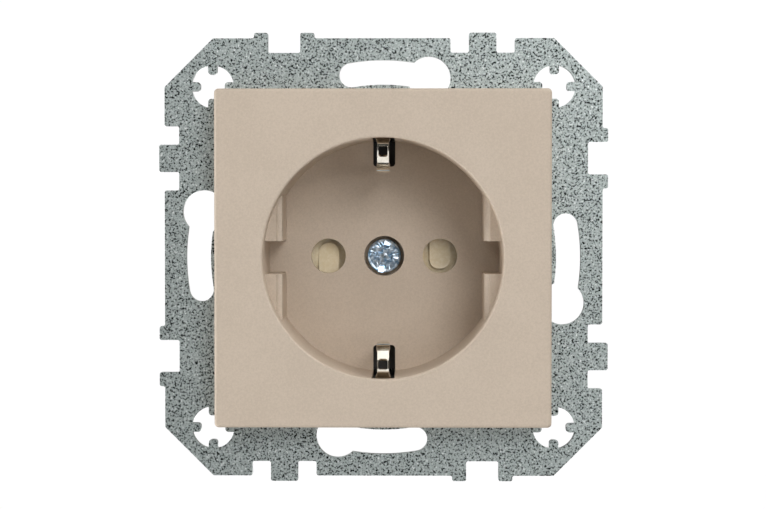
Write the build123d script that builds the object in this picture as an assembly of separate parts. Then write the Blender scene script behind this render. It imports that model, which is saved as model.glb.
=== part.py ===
from build123d import *
import os
from math import cos, radians, sin, sqrt, tan

# Flush wall socket with side earth clips, round pins and a shutter.
# Built lying on its back: X to the right, Y up the wall, Z out of the wall.
# The wall plane, which is the back of the yoke, is Z = 0. stand_up() turns the
# finished pieces so that the front faces -Y and up the wall is +Z.
# All sizes are millimetres.

# Centre plate
plate_side_margin = 7.75
plate_end_margin = 7.9
plate_corner_radius = 0.7
plate_edge_radius = 0.5
plate_thickness = 2.0
skirt_thickness = 1.4
skirt_gap = 0.3
face_height = 7.7
rib_thickness = 1.0
rib_height = 3.4

# Plug recess
recess_radius = 19.6
recess_depth = 17.5
recess_wall = 1.4
floor_thickness = 1.6
mouth_radius = 0.35
ledge_width = 2.95
ledge_depth = 4.6
ledge_edge_radius = 0.9
key_slot_width = 5.4

# Pins, centre screw and earth clip openings
pin_pitch = 19.0
pin_hole_diameter = 5.9
head_hole_diameter = 6.8
head_seat_depth = 3.4
head_seat_thickness = 0.8
screw_boss_wall = 0.75
clip_opening_width = 3.75
clip_opening_reach = 4.4
clip_opening_corner = 0.6
clip_opening_rim = 1.2

# Mounting yoke
yoke_width = 72.2
yoke_thickness = 1.2
yoke_chamfer = 8.0
yoke_edge_radius = 0.35
yoke_opening_gap = 0.6
key_offset = 16.35
key_width = 4.5
key_height = 0.9
key_clearance = 0.42
socket_tab_width = 2.3
side_notch_slack = 0.75
notch_depth = 2.4
corner_hole_inset = 7.95
corner_hole_diameter = 7.0
nub_width = 1.5
nub_root = 0.3
nub_tip_radius_from_centre = 2.0
nub_corner_radius = 0.55
fixing_inset = 5.6
fixing_slot_width = 4.05
fixing_slot_start = -9.9
fixing_slot_end = 14.3
keyhole_diameter = 7.1

# Screws and rivets
centre_screw_diameter = 3.0
centre_head_diameter = 5.75
centre_head_height = 1.8
centre_screw_length = 6.6
centre_slot_lean = 13.0
centre_slot_width = 1.1
centre_cross_span = 2.7
centre_cone_radius = 1.1
centre_cone_depth = 1.15
centre_cross_depth = 1.05
terminal_screw_diameter = 3.5
terminal_head_diameter = 6.0
terminal_head_height = 2.0
terminal_screw_length = 6.4
claw_screw_diameter = 3.0
claw_head_diameter = 4.2
claw_head_height = 1.7
driver_slot_width = 0.9
driver_slot_depth = 0.9
rivet_gap = 3.75
rivet_diameter = 3.0
rivet_head_diameter = 5.2
rivet_head_height = 0.8
rivet_depth = 5.0

# Shutter and the cover over the contacts
shutter_gap = 0.4
pad_height = 0.9
wing_thickness = 1.2
wing_half_angle = 21.0
wing_outer_radius = 13.2
pad_width = 3.5
pad_end = 2.2
pad_ramp_start = 0.9
pad_ramp_angle = 38.0
hub_wall = 1.1
pivot_wall = 0.8
running_clearance = 0.05
cover_thickness = 1.5
cover_rim_width = 1.3
spring_wire_radius = 0.18
spring_turns = 1.75

# Base housing
housing_side_wall = 1.35
housing_end_wall = 2.95
housing_circle_radius = 28.5
housing_depth = 28.4
housing_floor = 2.0
housing_wall = 1.4
housing_edge_radius = 1.2
cup_clearance = 0.35
fit_gap = 0.1
chamber_gap = 0.3

# Contacts, earth strap and terminals
strip_thickness = 0.8
jaw_thickness = 0.6
jaw_inner_diameter = 4.6
jaw_slit = 1.2
contact_width = 6.0
contact_reach = 3.0
clip_width = 2.4
clip_waist = 1.9
clip_nose_round = 0.9
clip_leg_gap = 0.7
clip_crown_depth = 2.9
clip_shoulder_inset = 1.9
clip_shoulder_depth = 4.1
clip_nose_inset = 5.4
clip_nose_depth = 11.3
clip_nose_sag = 0.15
clip_end_turn = 1.2
clip_end_depth = 13.7
clip_window_width = 1.5
clip_window_inner = 2.8
clip_window_outer = 1.35
clip_window_corner = 0.45
strap_lap = 2.0
tongue_lap = 4.0
collar_wall = 1.0
collar_length = 2.2
terminal_inset = 7.1
terminal_floor_gap = 1.3
terminal_leg_overlap = 3.5
terminal_pocket_lead = 2.2
wire_gap = 2.8
wire_funnel = 0.5
clamp_plate_thickness = 1.0
clamp_plate_size = 6.2

# Expansion claws
claw_screw_gap = 2.6
claw_width = 9.0
claw_thickness = 1.2
claw_foot_inset = 7.8
claw_foot_reach = 2.6
claw_leg_reach = 2.8
claw_leg_front = 6.0
claw_tooth_lean = 1.8
claw_tooth_front = 4.4
claw_hole_clearance = 0.4
claw_tooth_count = 3
claw_tooth_depth = 1.6
claw_screw_tip = 1.0

# Worked out from the sizes above
plate_width = 2 * (recess_radius + plate_side_margin)
plate_height = 2 * (recess_radius + plate_end_margin)
skirt_end = yoke_thickness + skirt_gap
floor_front = face_height - recess_depth
floor_back = floor_front - floor_thickness
cup_radius = recess_radius + recess_wall
ledge_level = face_height - ledge_depth
ledge_half_span = recess_radius - ledge_width
clip_opening_inner = recess_radius - clip_opening_reach
yoke_opening_radius = cup_radius + yoke_opening_gap
corner_hole_offset = yoke_width / 2 - corner_hole_inset
fixing_radius = yoke_width / 2 - fixing_inset
rivet_offset = (cup_radius + rivet_gap) / sqrt(2)
pin_offset = pin_pitch / 2
pin_radius = pin_hole_diameter / 2
head_seat = floor_front - head_seat_depth
boss_end = head_seat - head_seat_thickness
boss_radius = head_hole_diameter / 2 + screw_boss_wall
pad_front = floor_back - shutter_gap
wing_front = pad_front - pad_height
wing_back = wing_front - wing_thickness
cover_front = min(wing_back - 2 * fit_gap, boss_end - fit_gap)
cover_back = cover_front - cover_thickness
pivot_inner = boss_radius + 1.5 * fit_gap
pivot_outer = pivot_inner + pivot_wall
hub_inner = pivot_outer + running_clearance
hub_outer = hub_inner + hub_wall
strap_front = cover_back - fit_gap
strap_back = strap_front - strip_thickness
chamber_floor = housing_floor - housing_depth
contact_back = chamber_floor + 2 * fit_gap
contact_front = contact_back + strip_thickness
pocket_radius = cup_radius + cup_clearance
housing_width = 2 * (pocket_radius + housing_side_wall)
housing_height = 2 * (pocket_radius + housing_end_wall)
clip_leg = recess_radius + clip_leg_gap
clip_nose = recess_radius - clip_nose_inset
terminal_level = housing_height / 2 - terminal_inset
terminal_screw_back = housing_depth - housing_floor - terminal_floor_gap - clamp_plate_size / 2
terminal_inner = terminal_level - strip_thickness / 2
terminal_outer = terminal_level + strip_thickness / 2
clamp_inner = terminal_outer + wire_gap
clamp_outer = clamp_inner + clamp_plate_thickness
claw_screw_offset = cup_radius + claw_screw_gap
claw_foot_inner = claw_screw_offset - claw_foot_reach
claw_leg_offset = claw_screw_offset + claw_leg_reach
claw_tooth_offset = claw_leg_offset + claw_tooth_lean
claw_foot_back = housing_depth - claw_foot_inset
claw_recess = claw_screw_offset - claw_screw_diameter / 2 - 1.5 * fit_gap
claw_screw_end = -claw_foot_back - claw_thickness - claw_screw_tip


def stand_up(shape):
    """Turn a piece from lying on its back to standing in the wall."""
    return Rot(90, 0, 0) * shape


def save(node, shape):
    """Write one node as a STEP file."""
    export_step(stand_up(shape), f"parts/{node}.step")


def prism(sketch, low, high):
    """A flat outline in X and Y, drawn out between two levels of Z."""
    return extrude(Pos(0, 0, low) * sketch, amount=high - low)


def tube(outer, inner, low, high):
    """A ring about the Z axis between two levels."""
    return prism(Circle(outer) - Circle(inner), low, high)


def bent_strip(points, bends, thickness, width, plane):
    """Sheet folded along a line of points and drawn out to its width, half each way."""
    section = trace(FilletPolyline(*points, radius=bends), line_width=thickness)
    return extrude(plane * section, amount=width / 2, both=True)


def slotted_screw(head_diameter, head_height, shank_diameter, length):
    """A cheese-head screw standing on its tip, with the underside of its head at Z = 0."""
    head = Cylinder(head_diameter / 2, head_height, align=(Align.CENTER, Align.CENTER, Align.MIN))
    rim = head.edges().group_by(Axis.Z)[-1]
    head = chamfer(rim, 0.2)
    shank = Cylinder(shank_diameter / 2, length, align=(Align.CENTER, Align.CENTER, Align.MAX))
    shank = chamfer(shank.edges().group_by(Axis.Z)[0], 0.3)
    slot = Box(2 * head_diameter, driver_slot_width, 2 * driver_slot_depth)
    return head + shank - Pos(0, 0, head_height) * slot


def plate_shell():
    """The square face with its rounded edges and the skirt behind it."""
    outline = RectangleRounded(plate_width, plate_height, plate_corner_radius)
    shell = prism(outline, skirt_end, face_height)
    shell = fillet(shell.edges().group_by(Axis.Z)[-1], plate_edge_radius)
    hollow = Rectangle(plate_width - 2 * skirt_thickness, plate_height - 2 * skirt_thickness)
    return shell - prism(hollow, skirt_end, face_height - plate_thickness)


def cup_outline(radius, half_span, half_slot):
    """The recess in plan: a circle with two flat sides, each with a key slot in its middle."""
    flat_sided = Circle(radius) & Rectangle(2 * half_span, 4 * radius)
    slots = Circle(radius) & Rectangle(4 * radius, 2 * half_slot)
    return flat_sided + slots


def cup_body():
    """The outside of the recess, which is flat behind the ledges."""
    flats_end = ledge_level - recess_wall
    deep = cup_outline(cup_radius, ledge_half_span + recess_wall, key_slot_width / 2 + recess_wall)
    front = prism(Circle(cup_radius), flats_end, face_height)
    return front + prism(deep, floor_back, flats_end)


def recess_tool():
    """What is cut away to leave the recess, with the ledges' rounded inner edges."""
    mouth = face_height + 1
    top = ledge_level
    low = top - ledge_edge_radius
    span = ledge_half_span
    wide = span + ledge_edge_radius
    right = Polyline((0, mouth), (recess_radius, mouth), (recess_radius, top), (wide, top))
    corner = RadiusArc((wide, top), (span, low), ledge_edge_radius)
    inner = Polyline((span, low), (span, floor_front), (0, floor_front), (0, mouth))
    if corner.length > 2 * ledge_edge_radius:
        corner = RadiusArc((wide, top), (span, low), -ledge_edge_radius)
    half = extrude(Plane.XZ * make_face(right + corner + inner), amount=recess_radius, both=True)
    channel = half + mirror(half, about=Plane.YZ)
    slots = Circle(recess_radius) & Rectangle(4 * recess_radius, key_slot_width)
    return (channel & prism(Circle(recess_radius), floor_front, mouth)) + prism(slots, floor_front, mouth)


def clip_opening():
    """The opening that lets the upper earth clip through the floor and the wall."""
    length = cup_radius + 1 - clip_opening_inner
    outline = RectangleRounded(clip_opening_width, length, clip_opening_corner)
    centre = clip_opening_inner + length / 2
    return Pos(0, centre, 0) * prism(outline, floor_back - 1, face_height - clip_opening_rim)


def plate_ribs():
    """Four diagonal ribs between the recess and the corners of the skirt."""
    top = face_height - plate_thickness / 2
    reach = plate_width / sqrt(2) - skirt_thickness - plate_corner_radius
    inner = recess_radius + recess_wall / 2
    rib = Pos((inner + reach) / 2, 0, top - rib_height / 2) * Box(reach - inner, rib_thickness, rib_height)
    return [Rot(0, 0, 45 + 90 * turn) * rib for turn in range(4)]


def centre_plate():
    """The one-piece moulded plate with its plug recess."""
    body = plate_shell() + cup_body()
    for rib in plate_ribs():
        body = body + rib
    body = body + prism(Circle(boss_radius), boss_end, floor_front)
    body = body - recess_tool()
    mouth_edge = (
        body.edges()
        .filter_by(GeomType.CIRCLE)
        .filter_by(lambda edge: abs(edge.radius - recess_radius) < 0.01)
        .group_by(Axis.Z)[-1]
    )
    body = fillet(mouth_edge, mouth_radius)
    for side in (-1, 1):
        body = body - Pos(side * pin_offset, 0, 0) * prism(Circle(pin_radius), floor_back - 1, floor_front + 1)
    body = body - prism(Circle(head_hole_diameter / 2), head_seat, floor_front + 1)
    body = body - prism(Circle(centre_screw_diameter / 2 + 2 * fit_gap), boss_end - 1, head_seat)
    opening = clip_opening()
    return body - opening - mirror(opening, about=Plane.XZ)


def yoke_side_tabs():
    """Tabs of the upper side: two that form a socket at the left, one key at the right."""
    edge = yoke_width / 2
    socket_half = key_width / 2 + key_clearance
    tab_middle = socket_half + socket_tab_width / 2
    places = (
        (-key_offset - tab_middle, socket_tab_width),
        (-key_offset + tab_middle, socket_tab_width),
        (key_offset, key_width),
    )
    overlap = notch_depth
    tabs = [
        Pos(middle, edge + (key_height - overlap) / 2) * Rectangle(width, key_height + overlap)
        for middle, width in places
    ]
    return tabs


def yoke_side_notches():
    """Notches of the upper side: the socket's own, and one at each side of the key."""
    edge = yoke_width / 2
    side_width = socket_tab_width + side_notch_slack
    side_middle = (key_width + side_width) / 2
    places = (
        (-key_offset, key_width + 2 * key_clearance),
        (key_offset - side_middle, side_width),
        (key_offset + side_middle, side_width),
    )
    depth = notch_depth + key_height
    return [
        Pos(middle, edge + key_height - depth / 2 + 0.5) * Rectangle(width, depth + 1)
        for middle, width in places
    ]


def corner_hole():
    """A round hole with four short nubs that point at its centre."""
    radius = corner_hole_diameter / 2
    nub_length = radius + nub_root - nub_tip_radius_from_centre
    nub = Pos(radius + nub_root - nub_length / 2, 0) * Rectangle(nub_length, nub_width)
    nub = fillet(nub.vertices().group_by(Axis.X)[0], nub_corner_radius)
    hole = Sketch() + Circle(radius)
    for turn in range(4):
        hole = hole - Rot(0, 0, 90 * turn) * nub
    return hole


def fixing_slot():
    """The upper arc slot for a box screw, with a keyhole at its clockwise end."""
    first = 90 - fixing_slot_end
    sweep_angle = fixing_slot_end - fixing_slot_start
    slot = SlotArc(CenterArc((0, 0), fixing_radius, first, sweep_angle), fixing_slot_width)
    keyhole = Pos(fixing_radius * cos(radians(first)), fixing_radius * sin(radians(first))) * Circle(
        keyhole_diameter / 2
    )
    return slot + keyhole


def mounting_yoke():
    """The stamped steel yoke, the same on all four sides."""
    half = yoke_width / 2
    cut = yoke_chamfer
    outline = Polygon(
        (half - cut, half), (-half + cut, half), (-half, half - cut), (-half, -half + cut),
        (-half + cut, -half), (half - cut, -half), (half, -half + cut), (half, half - cut),
        align=None,
    )
    for turn in range(4):
        quarter = Rot(0, 0, 90 * turn)
        for tab in yoke_side_tabs():
            outline = outline + quarter * tab
        for notch in yoke_side_notches():
            outline = outline - quarter * notch
    outline = fillet(outline.vertices(), yoke_edge_radius)
    opening = Circle(yoke_opening_radius)
    claw_slot = SlotCenterToCenter(2 * claw_screw_offset, claw_screw_diameter + 3 * fit_gap)
    outline = outline - opening - claw_slot
    for turn in range(4):
        quarter = Rot(0, 0, 90 * turn)
        outline = outline - quarter * (Pos(corner_hole_offset, corner_hole_offset) * corner_hole())
        outline = outline - quarter * fixing_slot()
        outline = outline - quarter * (Pos(rivet_offset, rivet_offset) * Circle(rivet_diameter / 2 + fit_gap))
    return prism(outline, 0, yoke_thickness)


def yoke_rivets():
    """Four rivets that hold the yoke to the housing."""
    head = prism(Circle(rivet_head_diameter / 2), yoke_thickness, yoke_thickness + rivet_head_height)
    head = fillet(head.edges().group_by(Axis.Z)[-1], rivet_head_height / 2)
    rivet = head + prism(Circle(rivet_diameter / 2), -rivet_depth, yoke_thickness)
    return Compound([
        Pos(x * rivet_offset, y * rivet_offset, 0) * rivet
        for x in (-1, 1)
        for y in (-1, 1)
    ])


def centre_screw():
    """The plate's screw, with a slot and a cross in its head."""
    screw = slotted_screw(centre_head_diameter, centre_head_height, centre_screw_diameter, centre_screw_length)
    arm = Box(centre_cross_span, driver_slot_width, 2 * centre_cross_depth)
    cone = Cone(centre_cone_radius / 2, centre_cone_radius, centre_cone_depth,
                align=(Align.CENTER, Align.CENTER, Align.MAX))
    slot = Box(2 * centre_head_diameter, centre_slot_width, 2 * driver_slot_depth)
    recess = arm + Rot(0, 0, 90) * arm + slot
    screw = screw - Pos(0, 0, centre_head_height) * recess - Pos(0, 0, centre_head_height) * cone
    return Pos(0, 0, head_seat) * Rot(0, 0, 90 - centre_slot_lean) * screw


def shutter_wing():
    """The right wing: a sector under the pin hole with a raised pad that a pin pushes aside."""
    half = radians(wing_half_angle)
    reach = 2 * wing_outer_radius
    sector = Polygon(
        (0, 0), (reach * cos(half), -reach * sin(half)), (reach * cos(half), reach * sin(half)), align=None
    )
    flat = (sector & Circle(wing_outer_radius)) - Circle(hub_inner + hub_wall / 2)
    wing = prism(flat, wing_back, wing_front)
    high = pad_end + wing_outer_radius
    pad = Pos(pin_offset, high / 2 - pad_end) * RectangleRounded(pad_width, high, 0.45 * pad_width)
    raised = prism(pad & flat, wing_front, pad_front)
    drop = (wing_outer_radius - pad_ramp_start) * tan(radians(pad_ramp_angle))
    ramp = Polygon(
        (pad_ramp_start, pad_front), (wing_outer_radius, pad_front + 1),
        (wing_outer_radius, pad_front - drop), align=None,
    )
    return wing + (raised - extrude(Plane.YZ * ramp, amount=2 * wing_outer_radius))


def shutter():
    """The two-winged shutter that turns about the screw boss."""
    wing = shutter_wing()
    return tube(hub_outer, hub_inner, wing_front, pad_front) + wing + Rot(0, 0, 180) * wing


def shutter_spring():
    """A light torsion spring behind the shutter's hub, with one leg out at each end."""
    radius = hub_inner + spring_wire_radius + fit_gap
    room = wing_thickness - 2 * spring_wire_radius - 2 * fit_gap
    low = wing_back + spring_wire_radius + fit_gap
    coil = Helix(room / spring_turns, room, radius)
    start = Plane(origin=coil @ 0, z_dir=coil % 0)
    wire = sweep(start * RegularPolygon(spring_wire_radius, 6), path=coil)
    return Pos(0, 0, low) * wire


def contact_cover():
    """The ivory cover over the contacts, which carries the shutter on a round pivot."""
    radius = pocket_radius - cup_clearance
    cover = prism(Circle(radius), cover_back, cover_front)
    cover = cover + tube(radius, radius - cover_rim_width, cover_front, floor_back - chamber_gap)
    cover = cover + tube(pivot_outer, pivot_inner, cover_front, pad_front)
    for side in (-1, 1):
        cover = cover - Pos(side * pin_offset, 0, 0) * prism(Circle(pin_radius), cover_back, cover_front)
        notch_inner = clip_leg - strip_thickness / 2 - chamber_gap
        notch = Pos(0, side * (notch_inner + radius / 2)) * Rectangle(clip_width + 4 * chamber_gap, radius)
        cover = cover - prism(notch, cover_back, floor_back)
    return cover - prism(Circle(centre_screw_diameter / 2 + 2 * fit_gap), cover_back, cover_front)


def pin_contact(x):
    """A brass contact: two sprung jaws on a strip that ends under a terminal screw."""
    inner = jaw_inner_diameter / 2
    outer = inner + jaw_thickness
    ring = Circle(outer) - Circle(inner) - Rectangle(jaw_slit, 4 * outer)
    jaws = prism(ring, contact_front, strap_front)
    strip = bent_strip(
        [(contact_reach, contact_back + strip_thickness / 2),
         (-terminal_level, contact_back + strip_thickness / 2),
         (-terminal_level, -terminal_screw_back + terminal_leg_overlap)],
        strip_thickness, strip_thickness, contact_width, Plane.YZ,
    )
    return Pos(x, 0, 0) * (jaws + strip - terminal_thread())


def terminal_thread():
    """The threaded hole in a contact's terminal leg, as a plain bore."""
    hole = Circle(terminal_screw_diameter / 2 + running_clearance)
    bore = extrude(Plane.XZ.offset(terminal_inner - 1) * Pos(0, -terminal_screw_back) * hole, amount=3)
    return bore


def clip_path():
    """The upper earth clip from the side, as points in Y and Z: leg, crown, shoulder, nose, end."""
    half = strip_thickness / 2
    nose = clip_nose + half - clip_nose_sag
    return [
        (clip_opening_inner - strap_lap, strap_front - half),
        (clip_leg, strap_front - half),
        (clip_leg, face_height - clip_crown_depth),
        (recess_radius - clip_shoulder_inset, face_height - clip_shoulder_depth),
        (nose, face_height - clip_nose_depth),
        (nose + clip_end_turn, face_height - clip_end_depth),
    ]


def clip_trim():
    """What the upper clip loses in plan: its round nose, its waist and its window."""
    half = clip_width / 2
    inner = clip_nose - fit_gap
    waist = recess_radius - clip_window_outer
    outer = clip_leg + strip_thickness
    outline = Polygon(
        (-half, inner), (half, inner), (clip_waist / 2, waist), (half, outer),
        (-half, outer), (-clip_waist / 2, waist), align=None,
    )
    outline = fillet(outline.vertices().group_by(Axis.Y)[0], clip_nose_round)
    length = clip_window_inner - clip_window_outer
    middle = recess_radius - (clip_window_inner + clip_window_outer) / 2
    window = Pos(0, middle) * RectangleRounded(clip_window_width, length, clip_window_corner)
    around = Pos(0, clip_nose) * Rectangle(4 * clip_width, 4 * clip_width)
    return prism(around - outline, floor_front, face_height) + prism(window, floor_front, face_height)


def earth_strap():
    """One bent strip: two side clips, a threaded collar and the earth terminal's tongue."""
    clip = bent_strip(clip_path(), [1.0, 0.9, 2.5, 1.6], strip_thickness, clip_width, Plane.YZ) - clip_trim()
    low = -terminal_level + strip_thickness
    high = clip_opening_inner
    base = Pos(0, (low + high) / 2) * Rectangle(contact_width, high - low)
    strap = prism(base, strap_back, strap_front) + clip + mirror(clip, about=Plane.XZ)
    tongue = bent_strip(
        [(-terminal_level + tongue_lap, strap_front - strip_thickness / 2),
         (-terminal_level, strap_front - strip_thickness / 2),
         (-terminal_level, contact_front + strip_thickness)],
        strip_thickness, strip_thickness, contact_width, Plane.YZ,
    )
    bore = centre_screw_diameter / 2 + running_clearance
    strap = strap + tongue + prism(Circle(bore + collar_wall), strap_back - collar_length, strap_back)
    strap = strap - prism(Circle(bore), strap_back - collar_length, strap_front)
    return strap - terminal_thread()


def clamp_plate(x):
    """A square plate that a terminal screw presses on the wire."""
    plate = Box(clamp_plate_size, clamp_plate_thickness, clamp_plate_size)
    bore = Rot(90, 0, 0) * Cylinder(terminal_screw_diameter / 2 + 2 * fit_gap, 2 * clamp_plate_thickness)
    return Pos(x, -(clamp_inner + clamp_outer) / 2, -terminal_screw_back) * (plate - bore)


def terminal_screw(x):
    """A terminal screw with its head to the lower edge."""
    screw = slotted_screw(
        terminal_head_diameter, terminal_head_height, terminal_screw_diameter, terminal_screw_length
    )
    return Pos(x, -clamp_outer, -terminal_screw_back) * Rot(90, 0, 0) * screw


def housing_outline():
    """The housing in plan: a rectangle whose corners follow the round box."""
    return Rectangle(housing_width, housing_height) & Circle(housing_circle_radius)


def terminal_pocket(x):
    """Room for one terminal: clamp plate, screw, wire entry and driver hole."""
    half = clamp_plate_size / 2 + chamber_gap
    deep = clamp_outer + chamber_gap
    inner = terminal_inner - terminal_pocket_lead
    front = -terminal_screw_back + clamp_plate_size / 2 + chamber_gap
    room = Pos(0, -(inner + deep) / 2) * Rectangle(2 * half, deep - inner)
    pocket = prism(room, chamber_floor, front)
    for side in (-1, 1):
        entry = Pos(side * (contact_width - wire_gap) / 2, -(terminal_outer + clamp_inner) / 2)
        pocket = pocket + entry * prism(Circle(wire_gap / 2), -housing_depth - 1, chamber_floor)
        funnel = Cone(wire_gap / 2 + wire_funnel, wire_gap / 2, wire_funnel,
                      align=(Align.CENTER, Align.CENTER, Align.MIN))
        pocket = pocket + entry * Pos(0, 0, -housing_depth) * funnel
    driver = Rot(90, 0, 0) * Cylinder(
        terminal_head_diameter / 2 + chamber_gap, housing_height, align=(Align.CENTER, Align.CENTER, Align.MIN)
    )
    return Pos(x, 0, 0) * (pocket + Pos(0, -clamp_outer, -terminal_screw_back) * driver)


def contact_chamber(x):
    """Room for one pin contact and its strip."""
    half = contact_width / 2 + chamber_gap
    high = contact_reach + chamber_gap
    low = -terminal_outer - chamber_gap
    room = Pos(x, (low + high) / 2) * Rectangle(2 * half, high - low)
    return prism(room, chamber_floor, cover_back)


def strap_channel():
    """Room for the earth strap, its collar, its tongue and the end of the centre screw."""
    half = contact_width / 2 + chamber_gap
    reach = clip_leg + strip_thickness / 2 + chamber_gap
    groove = Rectangle(2 * half, 2 * reach)
    room = prism(groove, strap_back - chamber_gap, cover_back)
    tongue = Pos(0, -terminal_level) * Rectangle(2 * half, strip_thickness + 2 * chamber_gap)
    room = room + prism(tongue, contact_front + chamber_gap, cover_back)
    collar = centre_screw_diameter / 2 + running_clearance + collar_wall + chamber_gap
    return room + prism(Circle(collar), strap_back - 2 * collar_length, cover_back)


def claw_bay():
    """The bay at the right side for a claw and its screw."""
    half = claw_width / 2 + 2 * chamber_gap
    bottom = -claw_foot_back - 3 * claw_thickness
    reach = housing_circle_radius
    shallow = Pos(claw_recess + reach / 2, 0) * Rectangle(reach, 2 * half)
    deep = Pos(claw_foot_inner - chamber_gap + reach / 2, 0) * Rectangle(reach, 2 * half)
    return prism(shallow, bottom, 1) + prism(deep, bottom, cover_back - chamber_gap)


def core_pockets():
    """Hollows that keep the moulding's walls even, above and outside the contacts."""
    outer = claw_foot_inner - chamber_gap - housing_wall
    rib = contact_width / 2 + chamber_gap + housing_wall
    level = contact_reach + chamber_gap + housing_wall
    beside = pin_offset + rib
    upper = Pos((rib + outer) / 2, level + pocket_radius / 2) * Rectangle(outer - rib, pocket_radius)
    side = Pos((beside + outer) / 2, -pocket_radius / 2) * Rectangle(outer - beside, pocket_radius + 2 * level)
    area = (upper + side) & Circle(pocket_radius - housing_wall)
    right = prism(area, chamber_floor, cover_back)
    return right + mirror(right, about=Plane.YZ)


def base_housing():
    """The moulded base that holds the contacts, behind the yoke."""
    body = prism(housing_outline(), -housing_depth, 0)
    body = fillet(body.edges().group_by(Axis.Z)[0], housing_edge_radius)
    body = body - prism(Circle(pocket_radius), cover_back, 1)
    for x in (-pin_offset, 0, pin_offset):
        body = body - terminal_pocket(x)
    for x in (-pin_offset, pin_offset):
        body = body - contact_chamber(x)
    body = body - strap_channel() - core_pockets()
    bay = claw_bay()
    body = body - bay - mirror(bay, about=Plane.YZ)
    for x in (-1, 1):
        for y in (-1, 1):
            hole = prism(Circle(rivet_diameter / 2 + running_clearance), -rivet_depth - chamber_gap, 1)
            body = body - Pos(x * rivet_offset, y * rivet_offset, 0) * hole
    return body


def claw():
    """The right claw: a foot on the screw, a leg along the housing and outward teeth."""
    foot = -claw_foot_back
    strip = bent_strip(
        [(claw_foot_inner, foot), (claw_leg_offset, foot),
         (claw_leg_offset, -claw_leg_front), (claw_tooth_offset, -claw_tooth_front)],
        [1.0, 1.0], claw_thickness, claw_width, Plane.XZ,
    )
    bore = Circle(claw_screw_diameter / 2 + claw_hole_clearance)
    strip = strip - Pos(claw_screw_offset, 0) * prism(bore, foot - claw_thickness, foot + claw_thickness)
    pitch = claw_width / claw_tooth_count
    half = 0.36 * pitch
    gap = Polygon((-half, 0.2), (half, 0.2), (0, -claw_tooth_depth), align=None)
    plane = Plane(origin=(claw_tooth_offset, 0, -claw_tooth_front), x_dir=(0, 1, 0),
                  z_dir=(claw_tooth_front - claw_leg_front, 0, claw_tooth_offset - claw_leg_offset))
    for place in range(claw_tooth_count - 1):
        middle = pitch * (place + 1) - claw_width / 2
        cut = extrude(plane * Pos(middle, 0.4) * gap, amount=3, both=True)
        strip = strip - cut
    return strip


def claw_screw():
    """The right claw's screw, through the yoke and the claw's foot."""
    length = yoke_thickness - claw_screw_end
    screw = slotted_screw(claw_head_diameter, claw_head_height, claw_screw_diameter, length)
    return Pos(claw_screw_offset, 0, yoke_thickness) * Rot(0, 0, 30) * screw


os.makedirs("parts", exist_ok=True)
save("centre_plate", centre_plate())
save("mounting_yoke", mounting_yoke())
save("yoke_rivets", yoke_rivets())
save("centre_screw", centre_screw())
save("shutter", shutter())
save("shutter_spring", shutter_spring())
save("contact_cover", contact_cover())
save("base_housing", base_housing())
save("earth_strap", earth_strap())
save("clamp_plate_earth", clamp_plate(0))
save("terminal_screw_earth", terminal_screw(0))
for side, x in (("left", -pin_offset), ("right", pin_offset)):
    save(f"pin_contact_{side}", pin_contact(x))
    save(f"clamp_plate_{side}", clamp_plate(x))
    save(f"terminal_screw_{side}", terminal_screw(x))
save("claw_right", claw())
save("claw_left", mirror(claw(), about=Plane.YZ))
save("claw_screw_right", claw_screw())
save("claw_screw_left", mirror(claw_screw(), about=Plane.YZ))
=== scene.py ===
"""Finishes, fine detail, light and camera for a flush wall socket insert.

Everything is in metres in the insert's own frame: the wall plane is Y = 0, the front
faces -Y, +Z is up the wall and +X is to the right seen from the room.
"""

import logging
import math
from dataclasses import dataclass
from enum import Enum
from typing import Any

import bmesh
import bpy
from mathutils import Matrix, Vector, noise


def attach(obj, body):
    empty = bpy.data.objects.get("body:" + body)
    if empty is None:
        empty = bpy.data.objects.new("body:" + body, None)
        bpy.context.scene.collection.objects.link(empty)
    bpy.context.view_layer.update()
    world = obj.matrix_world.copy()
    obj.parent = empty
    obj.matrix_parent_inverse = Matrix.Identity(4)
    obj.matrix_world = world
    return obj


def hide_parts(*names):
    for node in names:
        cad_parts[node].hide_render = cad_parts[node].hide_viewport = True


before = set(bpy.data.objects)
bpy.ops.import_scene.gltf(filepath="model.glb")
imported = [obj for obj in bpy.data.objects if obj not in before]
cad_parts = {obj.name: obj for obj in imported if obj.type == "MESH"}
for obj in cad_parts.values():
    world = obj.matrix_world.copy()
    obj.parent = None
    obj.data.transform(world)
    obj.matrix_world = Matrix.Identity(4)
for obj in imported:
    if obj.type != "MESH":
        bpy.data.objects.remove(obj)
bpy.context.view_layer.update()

MM = 0.001
PHOTO_WIDTH_PX = 766
SHARP_EDGE_DEG = 40
LOG = logging.getLogger("wall_socket")

Point = tuple[float, float, float]
Face = tuple[int, ...]


def linear(colour: str) -> tuple[float, float, float, float]:
    """Turn an sRGB hex colour into linear light.

    Args:
        colour: Six hex digits with a leading hash sign.

    Returns:
        Linear red, green and blue, with an alpha of 1.
    """
    channels = [int(colour[place:place + 2], 16) / 255 for place in (1, 3, 5)]
    red, green, blue = (
        value / 12.92 if value <= 0.04045 else ((value + 0.055) / 1.055) ** 2.4 for value in channels
    )
    return red, green, blue, 1.0


def per_metre(size_mm: float) -> float:
    """Give the texture scale that makes one feature this many millimetres across."""
    return 1 / (size_mm * MM)


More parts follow.
